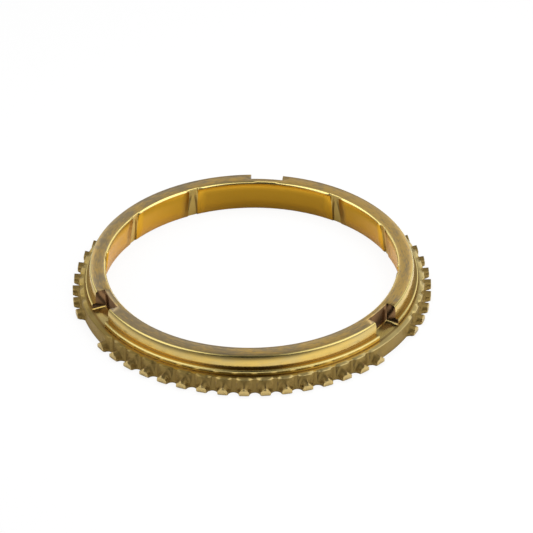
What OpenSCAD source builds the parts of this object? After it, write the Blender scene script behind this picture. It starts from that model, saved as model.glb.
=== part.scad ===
// Synchronizer ring of a manual gearbox: one brass forging, turned and broached.
// A friction cone runs through the middle, and its small end opens in the hub's end face.
// Round the back runs a flange with pointed teeth, in groups between the key slots.
// The ring axis is Z, the back face lies on Z = 0 and the hub's end face looks up.

/* [Friction cone] */
// Bore diameter where the cone would meet the hub's end face
cone_d = 105.2; // [96:0.2:120]
// Half angle of the cone
cone_angle = 8; // [5:0.5:10]
// Chamfer at the small end of the cone
cone_front_chamfer = 0.7; // [0.3:0.1:1.2]
// Chamfer at the large end of the cone
cone_back_chamfer = 0.4; // [0.2:0.1:0.8]

/* [Hub] */
// Wall of the hub at its end face, from the cone to the outside
hub_wall = 6.2; // [5:0.1:9]
// Height of the hub above its shoulder
hub_h = 4.9; // [3.5:0.1:9]
// Chamfer of 45 degrees round the hub's end face
hub_edge_chamfer = 0.8; // [0.4:0.1:1.2]
// Height of the hub's wall that curves in toward the end face
hub_curve_h = 2.7; // [1:0.1:3]
// Radius of that curve
hub_curve_r = 10; // [6:1:40]
// Fillet between the hub and its shoulder
hub_fillet = 0.2; // [0.1:0.05:0.7]

/* [Shoulder] */
// How far the shoulder stands out from the hub
shoulder_w = 1.4; // [0.9:0.1:2]
// Height of the shoulder above the flange
shoulder_h = 2.4; // [1.8:0.1:4]
// Rounding of the shoulder's edge
shoulder_round = 0.6; // [0.1:0.05:0.7]
// Fillet between the shoulder and the flange
shoulder_fillet = 0.3; // [0.1:0.1:1.2]

/* [Flange] */
// Thickness of the flange that carries the teeth
flange_t = 5.5; // [4.5:0.1:9]
// Width of the flange from the shoulder out to its rim
flange_w = 2.4; // [2:0.1:5]
// Chamfer on the rim's upper edge
rim_chamfer = 0.25; // [0.1:0.05:0.4]

/* [Teeth] */
// Tooth places from one key slot to the next
places_per_slot = 18; // [14:1:20]
// Tooth places left plain at each key slot
plain_places = 2; // [2:1:6]
// How far the teeth stand out from the rim
tooth_h = 2.5; // [1.5:0.1:4]
// How far the tooth gaps cut in from the rim, at the flange's upper face
gap_depth = 0.9; // [0.6:0.1:1.2]
// How far they still cut in at the back face, because their floors lean
gap_back_depth = 0.15; // [0.1:0.05:0.5]
// Radius of the round floor of a tooth gap
gap_r = 2; // [1.4:0.05:2.4]
// Depth of the teeth's ridges below the flange's upper face
ridge_drop = 1.9; // [1.2:0.1:2.4]
// Slope of the two chamfers that point a tooth
point_angle = 43; // [30:1:48]
// Chamfer on the back edges and corners of the tooth tips
tip_chamfer = 0.65; // [0.1:0.05:0.8]

/* [Key slots] */
// Number of key slots
slot_count = 3; // [2:1:4]
// Width of a key slot
slot_w = 12; // [8:0.2:16]
// Wall left between a key slot and the cone, at the end face
slot_wall = 2.5; // [1.8:0.1:3.5]
// Chamfer strip left along the foot of a key slot's side walls
slot_foot = 0.4; // [0.2:0.1:0.8]
// Share of that strip's height along the slot's inner wall
inner_foot_share = 0.75; // [0.3:0.05:0.9]

/* [Oil grooves] */
// Oil grooves from one key slot to the next
grooves_per_slot = 3; // [1:1:7]
// Width of an oil groove
groove_w = 3.8; // [2:0.1:5]
// Depth of an oil groove, square to the cone
groove_depth = 0.6; // [0.2:0.05:1]

/* [Hidden] */
$fn = 180;

// Overshoot of a cutter beyond the faces it cuts through
over = 1;

// Levels above the back face
shoulder_top = flange_t + shoulder_h;
ring_h = shoulder_top + hub_h;
ridge_z = flange_t - ridge_drop;
hub_curve_z = ring_h - hub_curve_h;

// Radii
cone_front_r = cone_d / 2;
cone_back_r = cone_front_r + ring_h * tan(cone_angle);
hub_r = cone_front_r + hub_wall;
shoulder_r = hub_r + shoulder_w;
rim_r = shoulder_r + flange_w;
tip_r = rim_r + tooth_h;
root_r = rim_r - gap_depth;
slot_r = cone_front_r + slot_wall;

// The hub's fillet leaves room for the rounding of the shoulder's edge
hub_fillet_r = min(hub_fillet, shoulder_w - shoulder_round);

// Angles round the ring, counted from the slot on the +Y axis
first_slot = 90;
slot_pitch = 360 / slot_count;
tooth_pitch = slot_pitch / places_per_slot;
groove_pitch = slot_pitch / (grooves_per_slot + 1);

// Borders between tooth places where a group of teeth begins and ends
group_start = plain_places / 2;
group_end = places_per_slot - plain_places / 2;

// The strip along a key slot's inner wall is lower, and ends against the side strips
inner_foot = inner_foot_share * slot_foot;

// The gaps' floors lean outward on their way to the back face
gap_lean = atan((gap_depth - gap_back_depth) / flange_t);
gap_l = flange_t / cos(gap_lean) + 2 * over;

// Cones outside the tips cut their back corners
corner_mid_r = tip_r + over;
corner_r = sqrt(pow(gap_r + tip_chamfer, 2) + pow(over, 2));

// A tooth blank reaches the middle of the gaps beside it, and its roof ends there in eaves
blank_half_w = tip_r * tan(tooth_pitch / 2);
eaves_z = ridge_z - blank_half_w * tan(point_angle);

// Puts copies at these angles, counted from each key slot in turn
module from_each_slot(angles) {
  for (s = [0 : slot_count - 1], a = angles)
    rotate(first_slot + s * slot_pitch + a) children();
}

// Quarter-round filling of an inner corner, set in the corner's own lower left
module fillet(r) {
  difference() {
    translate([-r, -r]) square(2 * r);
    translate([r, r]) circle(r);
  }
}

// Half section of the hub, curving in below the chamfer round its end face
module hub_section() {
  square([hub_r, hub_curve_z]);
  intersection() {
    translate([hub_r - hub_curve_r, hub_curve_z]) circle(hub_curve_r);
    polygon([
      [0, 0],
      [hub_r, 0],
      [hub_r, ring_h - hub_edge_chamfer],
      [hub_r - hub_edge_chamfer, ring_h],
      [0, ring_h]
    ]);
  }
}

// Half section of the shoulder, with its edge rounded
module shoulder_section() {
  square([shoulder_r - shoulder_round, shoulder_top]);
  square([shoulder_r, shoulder_top - shoulder_round]);
  translate([shoulder_r - shoulder_round, shoulder_top - shoulder_round]) circle(shoulder_round);
}

// Half section of the turned ring, with the radius along X and the height along Y
module ring_section() {
  difference() {
    union() {
      hub_section();
      shoulder_section();
      polygon([
        [0, 0],
        [rim_r, 0],
        [rim_r, flange_t - rim_chamfer],
        [rim_r - rim_chamfer, flange_t],
        [0, flange_t]
      ]);
      translate([hub_r, shoulder_top]) fillet(hub_fillet_r);
      translate([shoulder_r, flange_t]) fillet(shoulder_fillet);
    }
    cone_section();
  }
}

// Half section of the cone bore, with a chamfer of 45 degrees at either end
module cone_section() {
  front_r = cone_front_r + cone_front_chamfer * tan(cone_angle);
  back_r = cone_back_r - cone_back_chamfer * tan(cone_angle);
  polygon([
    [-over, -over],
    [back_r + cone_back_chamfer + over, -over],
    [back_r, cone_back_chamfer],
    [front_r, ring_h - cone_front_chamfer],
    [front_r + cone_front_chamfer + over, ring_h + over],
    [-over, ring_h + over]
  ]);
}

// One tooth, pointed like a gable roof, before its flanks, tip and back are cut
module tooth_blank() {
  base_z = min(eaves_z, 0) - over;
  translate([root_r - gap_r, 0, 0])
    rotate([90, 0, 90])
      linear_extrude(tip_r - root_r + gap_r + over)
        polygon([
          [-blank_half_w, base_z],
          [blank_half_w, base_z],
          [blank_half_w, eaves_z],
          [0, ridge_z],
          [-blank_half_w, eaves_z]
        ]);
}

// All the teeth, turned to the tip diameter; the end teeth's outer flanks leave the rim round
module toothed_rim() {
  difference() {
    intersection() {
      from_each_slot([for (i = [group_start : group_end - 1]) (i + 0.5) * tooth_pitch]) tooth_blank();
      rotate_extrude()
        polygon([
          [0, 0],
          [tip_r - tip_chamfer, 0],
          [tip_r, tip_chamfer],
          [tip_r, flange_t],
          [0, flange_t]
        ]);
    }
    from_each_slot([group_start * tooth_pitch, group_end * tooth_pitch]) tooth_gap();
  }
}

// Cutter for one tooth gap: a leaning channel with a round floor, and the tips' back corners
module tooth_gap() {
  translate([root_r, 0, flange_t])
    rotate([0, -gap_lean, 0])
      translate([gap_r, 0, over - gap_l])
        linear_extrude(gap_l + over) {
          circle(gap_r);
          translate([0, -gap_r]) square([tooth_h + gap_depth, 2 * gap_r]);
        }
  translate([corner_mid_r, 0, -over]) cylinder(h = corner_r, r1 = corner_r + over, r2 = over);
}

// Outline of a key slot, open to the outside, with an inner wall that follows the ring
module slot_outline() {
  difference() {
    translate([0, -slot_w / 2]) square([tip_r + over, slot_w]);
    circle(slot_r);
  }
}

// Section of a chamfer strip, with the wall on X = 0 and the slot's floor on Y = 0
module foot_section(w) {
  polygon([
    [-over, -over],
    [w + over, -over],
    [-over, w + over]
  ]);
}

// The strip along one side wall of a key slot
module side_foot() {
  translate([0, -slot_w / 2, flange_t])
    rotate([90, 0, 90])
      linear_extrude(tip_r + over) foot_section(slot_foot);
}

// The key slots, sunk from the hub's end face to the flange
module key_slots() {
  difference() {
    translate([0, 0, flange_t])
      linear_extrude(ring_h - flange_t + over)
        from_each_slot([0]) slot_outline();
    rotate_extrude() translate([slot_r, flange_t]) foot_section(inner_foot);
    from_each_slot([0]) {
      side_foot();
      mirror([0, 1, 0]) side_foot();
    }
  }
}

// One oil groove, leaning with the cone
module oil_groove() {
  groove_l = ring_h / cos(cone_angle) + 2 * over;
  translate([cone_back_r, 0, 0])
    rotate([0, -cone_angle, 0])
      translate([-over, -groove_w / 2, -over])
        cube([over + groove_depth, groove_w, groove_l]);
}

// The finished ring
module synchronizer_ring() {
  color("#b58f45")
    difference() {
      union() {
        rotate_extrude() ring_section();
        toothed_rim();
      }
      from_each_slot([for (i = [group_start + 1 : group_end - 1]) i * tooth_pitch]) tooth_gap();
      key_slots();
      from_each_slot([for (i = [1 : grooves_per_slot]) i * groove_pitch]) oil_groove();
    }
}

synchronizer_ring();
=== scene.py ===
import math

import bmesh
import bpy
import numpy as np
from mathutils import Matrix, Vector


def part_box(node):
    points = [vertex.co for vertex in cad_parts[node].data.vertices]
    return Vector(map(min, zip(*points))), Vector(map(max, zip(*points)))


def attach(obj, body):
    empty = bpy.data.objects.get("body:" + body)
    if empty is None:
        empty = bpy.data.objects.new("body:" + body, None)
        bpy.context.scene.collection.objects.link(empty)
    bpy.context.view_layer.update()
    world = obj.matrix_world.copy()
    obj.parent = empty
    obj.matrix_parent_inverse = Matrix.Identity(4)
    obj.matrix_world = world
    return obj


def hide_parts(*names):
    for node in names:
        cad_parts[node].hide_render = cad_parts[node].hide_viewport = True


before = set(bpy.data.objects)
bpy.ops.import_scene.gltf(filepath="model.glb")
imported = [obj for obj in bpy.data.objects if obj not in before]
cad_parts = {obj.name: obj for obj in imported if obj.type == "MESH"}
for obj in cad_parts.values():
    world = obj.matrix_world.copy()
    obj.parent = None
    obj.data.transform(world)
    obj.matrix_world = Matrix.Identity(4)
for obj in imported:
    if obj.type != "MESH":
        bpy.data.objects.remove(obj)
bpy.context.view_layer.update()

# The ring
# One brass forging, turned on the cone, the hub, the shoulder, the flange and the tooth tips.
# One gap between two of its teeth is still closed in the solid, so a copy with that gap cut is shown.
MM = 0.001
RING = "synchronizer_ring"
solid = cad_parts[RING]
_, ring_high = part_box(RING)

# Radii and heights on the ring, in millimetres
ring_height = ring_high.z / MM
tip_radius = ring_high.x / MM
flange_top = 5.5
tooth_height = 2.5
tip_chamfer = 0.65

# The closed gap: the fourth border between tooth places, counted from the key slot at the front right
slot_turn = 330
slot_pitch = 120
tooth_places = 18
closed_gap = 4
gap_turn = math.radians(slot_turn + closed_gap * slot_pitch / tooth_places)
gap_floor_radius = 61.7
gap_round = 2.0
gap_front_depth = 0.9
gap_back_depth = 0.15
gap_lean = math.atan((gap_front_depth - gap_back_depth) / flange_top)
gap_reach = tooth_height + gap_front_depth

# Cutters stand out by this much, and their half circles have so many sides
overshoot = 1.0
half_circle_sides = 24


def turned_to_gap(points):
    """These points, in mm beside the X axis, turned round the ring to the closed gap, in metres."""
    x, y, z = points.T
    cosine, sine = math.cos(gap_turn), math.sin(gap_turn)
    return np.column_stack((x * cosine - y * sine, x * sine + y * cosine, z)) * MM


def cutter(name, lower, upper):
    """A closed prism between two outlines of as many points, both counter-clockwise from above."""
    count = len(lower)
    sides = [(i, (i + 1) % count, count + (i + 1) % count, count + i) for i in range(count)]
    caps = [tuple(reversed(range(count))), tuple(range(count, 2 * count))]
    mesh = bpy.data.meshes.new(name)
    mesh.from_pydata(turned_to_gap(np.vstack((lower, upper))).tolist(), [], sides + caps)
    piece = bpy.data.objects.new(name, mesh)
    bpy.context.collection.objects.link(piece)
    return piece


def channel_outline(level):
    """Half a circle inward and straight flanks outward, further out the lower the level lies."""
    turn = np.linspace(math.pi / 2, 3 * math.pi / 2, half_circle_sides + 1)
    x = gap_round + np.append(gap_round * np.cos(turn), (gap_reach, gap_reach))
    y = np.append(gap_round * np.sin(turn), (-gap_round, gap_round))
    cosine, sine = math.cos(gap_lean), math.sin(gap_lean)
    outward = gap_floor_radius + x * cosine - level * sine
    return np.column_stack((outward, y, flange_top + x * sine + level * cosine))


def corner_outline(level, spread):
    """A circle outside the tips; between two of them lies the cone that cuts the tips' back corners."""
    turn = np.linspace(0, 2 * math.pi, 2 * half_circle_sides, endpoint=False)
    outward = tip_radius + overshoot + spread * np.cos(turn)
    return np.column_stack((outward, spread * np.sin(turn), np.full_like(turn, level)))


channel_depth = flange_top / math.cos(gap_lean) + overshoot
corner_height = math.hypot(gap_round + tip_chamfer, overshoot)
cutters = (
    cutter("Gap channel", channel_outline(-channel_depth), channel_outline(2 * overshoot)),
    cutter(
        "Gap corners",
        corner_outline(-overshoot, corner_height + overshoot),
        corner_outline(corner_height - overshoot, overshoot),
    ),
)

sliver = 0.001 * MM


def joined(source, name):
    """A copy of this mesh with its triangles joined, and without slivers."""
    mesh = bpy.data.meshes.new(name)
    work = bmesh.new()
    work.from_mesh(source)
    bmesh.ops.remove_doubles(work, verts=work.verts, dist=sliver)
    bmesh.ops.dissolve_degenerate(work, edges=work.edges, dist=sliver)
    bmesh.ops.triangulate(work, faces=work.faces)
    work.to_mesh(mesh)
    work.free()
    return mesh


blank = bpy.data.objects.new("Uncut ring", joined(solid.data, "Uncut ring"))
bpy.context.collection.objects.link(blank)
for piece in cutters:
    cut = blank.modifiers.new(piece.name, "BOOLEAN")
    cut.operation, cut.solver, cut.object = "DIFFERENCE", "EXACT", piece
evaluated = blank.evaluated_get(bpy.context.evaluated_depsgraph_get())
ring_mesh = joined(evaluated.to_mesh(), "Ring_shown")
evaluated.to_mesh_clear()
for piece in (blank, *cutters):
    bpy.data.objects.remove(piece)

sharp_edge = math.radians(32)
ring_mesh.shade_smooth()
ring_mesh.set_sharp_from_angle(angle=sharp_edge)
ring = bpy.data.objects.new("Ring_shown", ring_mesh)
bpy.context.collection.objects.link(ring)
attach(ring, "root")
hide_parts(RING)


def new_material(name):
    """A node material, with its tree, its Principled shader and its output."""
    material = bpy.data.materials.new(name)
    material.use_nodes = True
    tree = material.node_tree
    return material, tree, tree.nodes["Principled BSDF"], tree.nodes["Material Output"]


def reckon(tree, operation, *terms):
    """The result of a Math node on these terms, which are numbers or sockets."""
    node = tree.nodes.new("ShaderNodeMath")
    node.operation = operation
    for socket, term in zip(node.inputs, terms):
        if isinstance(term, (int, float)):
            socket.default_value = term
        else:
            tree.links.new(term, socket)
    return node.outputs[0]


def overlap(tree, mask, *others):
    """The product of these masks, which is 1 where all of them are 1."""
    for other in others:
        mask = reckon(tree, "MULTIPLY", mask, other)
    return mask


def rise(tree, value, low, high):
    """0 where the value is at low, 1 where it is at high, and a smooth step between them."""
    node = tree.nodes.new("ShaderNodeMapRange")
    node.interpolation_type = "SMOOTHSTEP"
    node.inputs["From Min"].default_value = low
    node.inputs["From Max"].default_value = high
    tree.links.new(value, node.inputs["Value"])
    return node.outputs["Result"]


def fall(tree, value, low, high):
    """1 where the value is at low, 0 where it is at high."""
    return reckon(tree, "SUBTRACT", 1.0, rise(tree, value, low, high))


def between(tree, value, low, high, soft):
    """1 where the value lies between low and high, fading out over soft on either side."""
    return overlap(tree, rise(tree, value, low - soft, low), fall(tree, value, high, high + soft))


def laid_over(tree, share, under, over):
    """The colour, number or direction under, with this share of the one laid over it."""
    node = tree.nodes.new("ShaderNodeMix")
    if isinstance(over, tuple):
        node.data_type, ending = "RGBA", "Color"
    elif isinstance(over, bpy.types.NodeSocket) and over.type != "VALUE":
        node.data_type, ending = ("RGBA", "Color") if over.type == "RGBA" else ("VECTOR", "Vector")
    else:
        node.data_type, ending = "FLOAT", "Float"
    sockets = {socket.identifier: socket for socket in node.inputs}
    tree.links.new(share, sockets["Factor_Float"])
    for socket, term in ((sockets["A_" + ending], under), (sockets["B_" + ending], over)):
        if isinstance(term, bpy.types.NodeSocket):
            tree.links.new(term, socket)
        else:
            socket.default_value = (*term, 1.0) if ending == "Color" else term
    return next(socket for socket in node.outputs if socket.identifier == "Result_" + ending)


# Its finishes lie in bands of radius and height, which the material measures on the ring itself
brass, tree, metal, _ = new_material("Brass")
axes = tree.nodes.new("ShaderNodeSeparateXYZ")
tree.links.new(tree.nodes.new("ShaderNodeTexCoord").outputs["Object"], axes.inputs[0])
east = reckon(tree, "DIVIDE", axes.outputs["X"], MM)
north = reckon(tree, "DIVIDE", axes.outputs["Y"], MM)
height = reckon(tree, "DIVIDE", axes.outputs["Z"], MM)
east_squared = reckon(tree, "POWER", east, 2.0)
north_squared = reckon(tree, "POWER", north, 2.0)
radius = reckon(tree, "SQRT", reckon(tree, "ADD", east_squared, north_squared))

# Where the finishes begin and end
cone_mouth = 52.6
cone_slope = math.tan(math.radians(8))
inner_chamfer = 0.7
slot_inner = 55.1
slot_half = 6.0
hub_radius = 58.8
hub_edge_chamfer = 0.8
shoulder_radius = 60.2
shoulder_top = 7.9
rim_radius = tip_radius - tooth_height
ridge_height = 3.6
streak_radius = 58.0


def streaks(tree, across, along, detail):
    """Noise that follows the turning: features so many mm wide and, round the ring, so many long."""
    turns = reckon(tree, "DIVIDE", streak_radius / along, radius)
    vector = tree.nodes.new("ShaderNodeCombineXYZ")
    tree.links.new(reckon(tree, "MULTIPLY", east, turns), vector.inputs["X"])
    tree.links.new(reckon(tree, "MULTIPLY", north, turns), vector.inputs["Y"])
    down_section = reckon(tree, "ADD", radius, height)
    tree.links.new(reckon(tree, "DIVIDE", down_section, across), vector.inputs["Z"])
    node = tree.nodes.new("ShaderNodeTexNoise")
    node.inputs["Scale"].default_value = 1.0
    node.inputs["Detail"].default_value = detail
    tree.links.new(vector.outputs[0], node.inputs["Vector"])
    return node.outputs["Fac"]


# The turned wall is gold with paler clouds and fine streaks
cloud = streaks(tree, across=4.0, along=9.0, detail=2.0)
fine = streaks(tree, across=0.5, along=2.6, detail=3.0)
wall_gold = (0.77, 0.54, 0.15)
wall_pale = (0.66, 0.50, 0.19)
wall_streak = (0.60, 0.45, 0.19)
tint = laid_over(tree, rise(tree, cloud, 0.35, 0.7), wall_gold, wall_pale)
tint = laid_over(tree, overlap(tree, rise(tree, fine, 0.5, 0.72), 0.4), tint, wall_streak)

# The hub's end face is greyed in patches, partly dull tone and partly a painted reflection of the dim
# room, with more painted shade to the west and the south
face_gold = (0.80, 0.53, 0.165)
face_dull_and_shade_grey = (0.50, 0.38, 0.205)
face_bright = (0.88, 0.59, 0.19)
face_dark = (0.40, 0.31, 0.19)
painted_shade_west, painted_shade_south = 0.0022, 0.0016
end_face = rise(tree, height, ring_height - 0.1, ring_height - 0.02)
dull_and_shade_noise = reckon(tree, "SUBTRACT", cloud, reckon(tree, "MULTIPLY", east, painted_shade_west))
dull_and_shade_noise = reckon(tree, "SUBTRACT", dull_and_shade_noise, reckon(tree, "MULTIPLY", north, painted_shade_south))
dull_and_shaded_face = laid_over(tree, rise(tree, dull_and_shade_noise, 0.36, 0.66), face_gold, face_dull_and_shade_grey)
dull_and_shaded_face = laid_over(tree, overlap(tree, rise(tree, fine, 0.48, 0.72), 0.6), dull_and_shaded_face, face_bright)
dull_and_shaded_face = laid_over(tree, overlap(tree, fall(tree, fine, 0.30, 0.50), 0.6), dull_and_shaded_face, face_dark)
tint = laid_over(tree, end_face, tint, dull_and_shaded_face)

# The flange is olive; painted light makes it paler to the east and painted shade makes it darkest at
# its front left
olive_shaded_west = (0.46, 0.33, 0.09)
olive_lit_east = (0.74, 0.59, 0.25)
olive_shaded_front_left = (0.25, 0.175, 0.05)
below_flange_top = fall(tree, height, flange_top - 0.05, flange_top + 0.1)
outside_hub = rise(tree, radius, hub_radius + 0.2, shoulder_radius + 0.1)
on_flange = overlap(tree, below_flange_top, outside_hub)
olive = laid_over(tree, rise(tree, east, -35.0, 35.0), olive_shaded_west, olive_lit_east)
west_share = reckon(tree, "MULTIPLY", east, -0.65)
front_share = reckon(tree, "MULTIPLY", north, -0.75)
front_left = reckon(tree, "ADD", west_share, front_share)
olive = laid_over(tree, rise(tree, front_left, 45.0, 60.0), olive, olive_shaded_front_left)
tint = laid_over(tree, on_flange, tint, olive)

# The forged rim between the teeth is darker and matt, its gables are painted darkest as shade, and the
# tips are turned
forged_brown = (0.36, 0.25, 0.08)
gable_shade_brown = (0.20, 0.135, 0.065)
tip_gold = (0.60, 0.45, 0.18)
among_teeth = rise(tree, radius, gap_floor_radius - 0.4, gap_floor_radius - 0.2)
below_tip = fall(tree, radius, tip_radius - 0.3, tip_radius - 0.1)
below_rim_edge = fall(tree, height, flange_top - 0.35, flange_top - 0.1)
forged = overlap(tree, among_teeth, below_tip, below_rim_edge)
tint = laid_over(tree, forged, tint, forged_brown)
surface_normal = tree.nodes.new("ShaderNodeNewGeometry").outputs["Normal"]
normal_axes = tree.nodes.new("ShaderNodeSeparateXYZ")
tree.links.new(surface_normal, normal_axes.inputs[0])
looks_up = rise(tree, normal_axes.outputs["Z"], 0.5, 0.65)
below_ridge = fall(tree, height, ridge_height + 0.1, ridge_height + 0.3)
# Painted shade on the faces of the teeth that look up
gable = overlap(tree, looks_up, below_ridge, forged)
tint = laid_over(tree, gable, tint, gable_shade_brown)
past_rim = rise(tree, radius, rim_radius + 0.2, rim_radius + 0.3)
tips = overlap(tree, past_rim, reckon(tree, "SUBTRACT", 1.0, below_tip))
tint = laid_over(tree, tips, tint, tip_gold)

# The key slots are painted dark, as shade inside them
slot_shade = (0.20, 0.11, 0.05)
turn_from_back = reckon(tree, "SUBTRACT", reckon(tree, "ARCTAN2", north, east), math.pi / 2)
turn_from_slot = reckon(tree, "WRAP", turn_from_back, math.pi / 3, -math.pi / 3)
sideways = reckon(tree, "MULTIPLY", radius, reckon(tree, "SINE", turn_from_slot))
beside_slot = reckon(tree, "ABSOLUTE", sideways)
slot_shaded = overlap(
    tree,
    fall(tree, beside_slot, slot_half + 0.02, slot_half + 0.06),
    rise(tree, radius, slot_inner - 0.2, slot_inner - 0.1),
    between(tree, height, flange_top + 0.45, ring_height - 0.1, 0.05),
    fall(tree, radius, shoulder_radius + 0.1, shoulder_radius + 0.2),
)
tint = laid_over(tree, slot_shaded, tint, slot_shade)

# The friction cone is a deeper gold than the rest, and its groove floors are paler
cone_gold = (0.70, 0.38, 0.030)
groove_gold = (0.68, 0.49, 0.14)
depth = reckon(tree, "SUBTRACT", ring_height, height)
cone_radius = reckon(tree, "ADD", reckon(tree, "MULTIPLY", depth, cone_slope), cone_mouth)
behind_cone = reckon(tree, "SUBTRACT", radius, cone_radius)
chamfer_foot = ring_height - inner_chamfer
below_chamfer = fall(tree, height, chamfer_foot - 0.02, chamfer_foot + 0.02)
bore = overlap(tree, fall(tree, behind_cone, 0.9, 1.1), below_chamfer)
gold = laid_over(tree, rise(tree, behind_cone, 0.25, 0.45), cone_gold, groove_gold)
tint = laid_over(tree, bore, tint, gold)

# Painted shade darkens the corners of the section and the gaps between the teeth, from ambient
# occlusion
corner_shade_brown = (0.28, 0.15, 0.035)
corner_shade_share = 0.65
recess = tree.nodes.new("ShaderNodeAmbientOcclusion")
recess.samples = 8
recess.only_local = True
recess.inputs["Distance"].default_value = 1.5 * MM
between_teeth = overlap(
    tree,
    fall(tree, recess.outputs["AO"], 0.5, 0.92),
    rise(tree, radius, gap_floor_radius - 0.5, gap_floor_radius - 0.2),
)
hub_corner = overlap(
    tree,
    between(tree, height, shoulder_top - 0.05, shoulder_top + 0.2, 0.3),
    rise(tree, radius, hub_radius - 0.5, hub_radius - 0.3),
)
shoulder_corner = overlap(
    tree,
    between(tree, height, flange_top - 0.05, flange_top + 0.2, 0.3),
    between(tree, radius, shoulder_radius - 0.2, shoulder_radius + 0.3, 0.4),
)
corners = reckon(tree, "MAXIMUM", hub_corner, shoulder_corner)
corner_shade = reckon(tree, "MAXIMUM", between_teeth, corners)
tint = laid_over(tree, overlap(tree, corner_shade, corner_shade_share), tint, corner_shade_brown)

# The turned wall is smoothest, and the forged rim is roughest
roughness = 0.22
for finish, own_roughness in (
    (on_flange, 0.38),
    (end_face, 0.3),
    (forged, 0.55),
    (gable, 0.38),
    (tips, 0.36),
    (bore, 0.32),
):
    roughness = laid_over(tree, finish, roughness, own_roughness)

# The turned section is finer than its facets, so its normals follow a curve against height.
# Each stop is a height and the sine of the surface's lean there: 0 is upright and 1 looks up.
section_top = 16.0
section = tree.nodes.new("ShaderNodeValToRGB")
tree.links.new(reckon(tree, "DIVIDE", height, section_top), section.inputs[0])
stops = section.color_ramp.elements
stops.remove(stops[1])
stops[0].position = (flange_top + 0.08) / section_top
stops[0].color = (1, 1, 1, 1)
shoulder_wall = ((flange_top + 0.12, 0.0), (shoulder_top - 0.95, 0.0))
shoulder_edge = (
    (shoulder_top - 0.7, 0.28),
    (shoulder_top - 0.58, 0.66),
    (shoulder_top - 0.28, 0.85),
    (shoulder_top - 0.1, 1.0),
    (shoulder_top + 0.08, 1.0),
)
hub_wall = ((shoulder_top + 0.12, 0.0), (10.0, 0.0))
hub_edge = ((ring_height - 0.6, 0.30), (ring_height - 0.05, 1.0))
for stop_height, stop_sine in (*shoulder_wall, *shoulder_edge, *hub_wall, *hub_edge):
    stops.new(stop_height / section_top).color = (stop_sine, stop_sine, stop_sine, 1)

# The hub wall wavers a little
waver_sine = 0.08
on_hub_wall = between(tree, height, shoulder_top + 0.4, ring_height - 0.8, 0.2)
waver = overlap(tree, reckon(tree, "SUBTRACT", cloud, 0.5), on_hub_wall, waver_sine)
lean_sine = reckon(tree, "ADD", section.outputs[0], waver)
cosine_squared = reckon(tree, "SUBTRACT", 1.0, reckon(tree, "POWER", lean_sine, 2.0))
lean_cosine = reckon(tree, "SQRT", reckon(tree, "MAXIMUM", cosine_squared, 0.0))
outward = reckon(tree, "DIVIDE", lean_cosine, radius)
lean = tree.nodes.new("ShaderNodeCombineXYZ")
tree.links.new(reckon(tree, "MULTIPLY", outward, east), lean.inputs["X"])
tree.links.new(reckon(tree, "MULTIPLY", outward, north), lean.inputs["Y"])
tree.links.new(lean_sine, lean.inputs["Z"])
section_normal = tree.nodes.new("ShaderNodeVectorTransform")
section_normal.vector_type = "NORMAL"
section_normal.convert_from, section_normal.convert_to = "OBJECT", "WORLD"
tree.links.new(lean.outputs[0], section_normal.inputs[0])
turned_inside = hub_radius - hub_edge_chamfer - 0.02
turned = overlap(
    tree,
    rise(tree, beside_slot, slot_half + 0.01, slot_half + 0.05),
    between(tree, radius, turned_inside, shoulder_radius + 0.8, 0.02),
    rise(tree, height, flange_top - 0.1, flange_top - 0.05),
)
facing = laid_over(tree, turned, surface_normal, section_normal.outputs[0])

# The teeth's edges are worn soft
soft_edge = tree.nodes.new("ShaderNodeBevel")
soft_edge.samples = 6
soft_edge.inputs["Radius"].default_value = 0.35 * MM
on_teeth = overlap(tree, among_teeth, fall(tree, height, flange_top - 0.1, flange_top))
facing = laid_over(tree, on_teeth, facing, soft_edge.outputs[0])

# The turned edges and the bore's inner chamfer are painted a paler gold, as highlight
highlight_gold = (0.82, 0.65, 0.24)
shoulder_band = between(tree, height, shoulder_top - 0.95, shoulder_top - 0.1, 0.05)
hub_band = between(tree, height, ring_height - 0.6, ring_height - 0.04, 0.02)
outer_edges = overlap(tree, reckon(tree, "MAXIMUM", shoulder_band, hub_band), turned)
inner_edge = overlap(
    tree,
    rise(tree, height, chamfer_foot - 0.04, chamfer_foot + 0.02),
    fall(tree, radius, cone_mouth + 0.8, cone_mouth + 0.9),
)
tint = laid_over(tree, reckon(tree, "MAXIMUM", outer_edges, inner_edge), tint, highlight_gold)

metal.inputs["Metallic"].default_value = 1.0
tree.links.new(facing, metal.inputs["Normal"])
tree.links.new(tint, metal.inputs["Base Color"])
tree.links.new(roughness, metal.inputs["Roughness"])
ring_mesh.materials.append(brass)

# The table
# A sheet of white paper under the ring, which the camera sees as white.
# The rest of its colour is lit as paper is, so the ring's shadow stays on it.
table_half = 6.0
table_level = -0.02 * MM
table_glow = 0.88
paper_white = (0.9, 0.9, 0.9)
paper_shade_grey = (0.25, 0.25, 0.25)

table_paint, tree, paint, out = new_material("Table")


def seen_directly(tree):
    """1 where the ray comes from the camera, or through glass, else 0."""
    rays = tree.nodes.new("ShaderNodeLightPath").outputs
    return reckon(tree, "MAXIMUM", rays["Is Camera Ray"], rays["Is Transmission Ray"])


def away_from(tree, across, along):
    """Distance on the table from this place, measured a little short across it."""
    offset = tree.nodes.new("ShaderNodeVectorMath")
    offset.operation = "SUBTRACT"
    tree.links.new(tree.nodes.new("ShaderNodeTexCoord").outputs["Object"], offset.inputs[0])
    offset.inputs[1].default_value = (across, along, 0)
    squeezed = tree.nodes.new("ShaderNodeVectorMath")
    squeezed.operation = "MULTIPLY"
    tree.links.new(offset.outputs[0], squeezed.inputs[0])
    squeezed.inputs[1].default_value = (0.85, 1.0, 1.0)
    length = tree.nodes.new("ShaderNodeVectorMath")
    length.operation = "LENGTH"
    tree.links.new(squeezed.outputs[0], length.inputs[0])
    return length.outputs["Value"]
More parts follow.
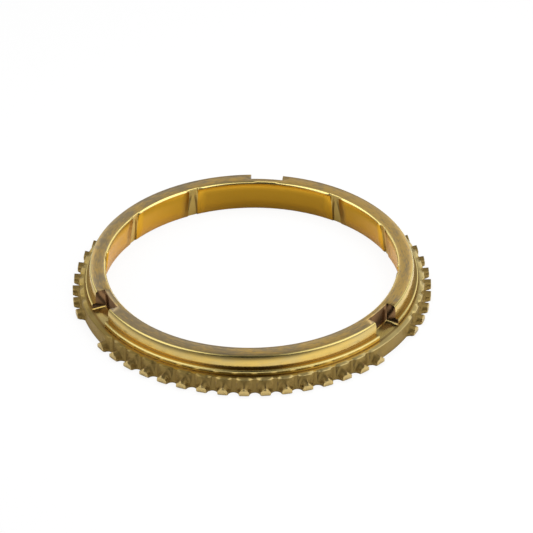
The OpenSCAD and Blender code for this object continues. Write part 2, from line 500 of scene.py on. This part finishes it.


# In the ring's reflections the paper is painted darker past a painted pool of light, and a painted
# shadow darkens it inside the ring at the back
past_pool = rise(tree, away_from(tree, 0.02, 0.0), 0.062, 0.120)
shadow_inside_back = fall(tree, away_from(tree, 0.002, 0.046), 0.010, 0.045)
shade = reckon(tree, "MAXIMUM", past_pool, overlap(tree, shadow_inside_back, 0.75))
mirrored_shade = overlap(tree, shade, reckon(tree, "SUBTRACT", 1.0, seen_directly(tree)))
table_colour = laid_over(tree, mirrored_shade, paper_white, paper_shade_grey)
tree.links.new(table_colour, paint.inputs["Base Color"])
paint.inputs["Roughness"].default_value = 0.9
paint.inputs["Specular IOR Level"].default_value = 0.0
glow = tree.nodes.new("ShaderNodeEmission")
mixed = tree.nodes.new("ShaderNodeMixShader")
tree.links.new(overlap(tree, seen_directly(tree), table_glow), mixed.inputs[0])
tree.links.new(paint.outputs[0], mixed.inputs[1])
tree.links.new(glow.outputs[0], mixed.inputs[2])
tree.links.new(mixed.outputs[0], out.inputs["Surface"])

sheet = bpy.data.meshes.new("Table")
sheet_corners = np.array([(-1, -1), (1, -1), (1, 1), (-1, 1)]) * table_half
sheet_points = np.column_stack((sheet_corners, np.full(4, table_level)))
sheet.from_pydata(sheet_points.tolist(), [], [(0, 1, 2, 3)])
sheet.materials.append(table_paint)
table = bpy.data.objects.new("Table", sheet)
bpy.context.collection.objects.link(table)

# The camera
# A long lens that looks down on the hub's end face from the front.
# It stands a little to the right of the axis through the back slot, and is rolled a little.
view_azimuth = math.radians(6.19)
view_elevation = math.radians(34.27)
view_roll = math.radians(-0.724)
view_distance = 1.157
view_lens = 216.1
view_end = 50
aim_right, aim_down = 5.38 * MM, 1.88 * MM

ahead = Vector((math.sin(view_azimuth), -math.cos(view_azimuth), 0))
right = Vector((math.cos(view_azimuth), math.sin(view_azimuth), 0))
back = ahead * math.cos(view_elevation) + Vector((0, 0, math.sin(view_elevation)))
up = back.cross(right)
level_right = right * math.cos(view_roll) + up * math.sin(view_roll)
level_up = up * math.cos(view_roll) - right * math.sin(view_roll)
top_centre = Vector((0, 0, ring_high.z))
stand = top_centre + back * view_distance
aim = top_centre + level_right * aim_right - level_up * aim_down
sight = (stand - aim).normalized()
side = level_up.cross(sight).normalized()
rows = Matrix((side, sight.cross(side), sight)).transposed()

lens = bpy.data.cameras.new("Camera")
lens.lens = view_lens
lens.clip_end = view_end
camera = bpy.data.objects.new("Camera", lens)
camera.matrix_world = Matrix.Translation(stand) @ rows.to_4x4()
bpy.context.collection.objects.link(camera)
bpy.context.scene.camera = camera

# The studio
# A dim room with soft patches of light on its walls: the metal shows them, and the dark between them.
# A lamp over the table lights the paper, and a small card brightens the back of the bore's edge.
world = bpy.data.worlds.new("Studio")
bpy.context.scene.world = world
world.use_nodes = True
tree = world.node_tree
sky = tree.nodes["Background"]
direction = tree.nodes.new("ShaderNodeTexCoord").outputs["Generated"]


def toward(turn, rising):
    """The unit vector this many degrees to the right of the camera's side and above the table."""
    turn, rising = math.radians(turn), math.radians(rising)
    level = ahead * math.cos(turn) + right * math.sin(turn)
    return level * math.cos(rising) + Vector((0, 0, math.sin(rising)))


def patch(turn, rising, core, rim, strength):
    """A round patch of light: full inside core degrees of its middle, and gone at rim degrees."""
    along = tree.nodes.new("ShaderNodeVectorMath")
    along.operation = "DOT_PRODUCT"
    tree.links.new(direction, along.inputs[0])
    along.inputs[1].default_value = toward(turn, rising)
    low, high = math.cos(math.radians(rim)), math.cos(math.radians(core))
    return overlap(tree, rise(tree, along.outputs["Value"], low, high), strength)


room_light = 0.035
light = room_light
for light_patch in (
    patch(turn=180, rising=28, core=20, rim=70, strength=0.45),
    patch(turn=135, rising=8, core=14, rim=34, strength=0.80),
    patch(turn=-135, rising=8, core=14, rim=34, strength=0.70),
    patch(turn=64, rising=4, core=12, rim=28, strength=0.55),
    patch(turn=70, rising=38, core=22, rim=42, strength=1.20),
    patch(turn=-74, rising=40, core=22, rim=40, strength=1.25),
    patch(turn=-64, rising=4, core=12, rim=28, strength=0.30),
):
    light = reckon(tree, "ADD", light, light_patch)
tree.links.new(laid_over(tree, seen_directly(tree), light, 1.0), sky.inputs["Strength"])
sky.inputs["Color"].default_value = (1, 1, 1, 1)

# The lamp isn't mirrored in the metal
lamp = bpy.data.lights.new("Overhead lamp", "AREA")
lamp.size = 0.35
lamp.energy = 1.02
overhead = bpy.data.objects.new("Overhead lamp", lamp)
overhead.location = (0.06, 0.02, 0.35)
overhead.visible_glossy = False
bpy.context.collection.objects.link(overhead)

# The card is seen only in the metal, and its strength is a radiance times its area
card_radiance = 0.95
card_light = bpy.data.lights.new("Card", "AREA")
card_light.shape = "RECTANGLE"
card_light.size, card_light.size_y = 0.044, 0.016
card_light.energy = card_radiance * math.pi * card_light.size * card_light.size_y
card = bpy.data.objects.new("Card", card_light)
card.location = (-0.004, 0.037, 0.0325)
card.visible_camera = card.visible_diffuse = False
bpy.context.collection.objects.link(card)

bpy.context.scene.view_settings.view_transform = "Standard"
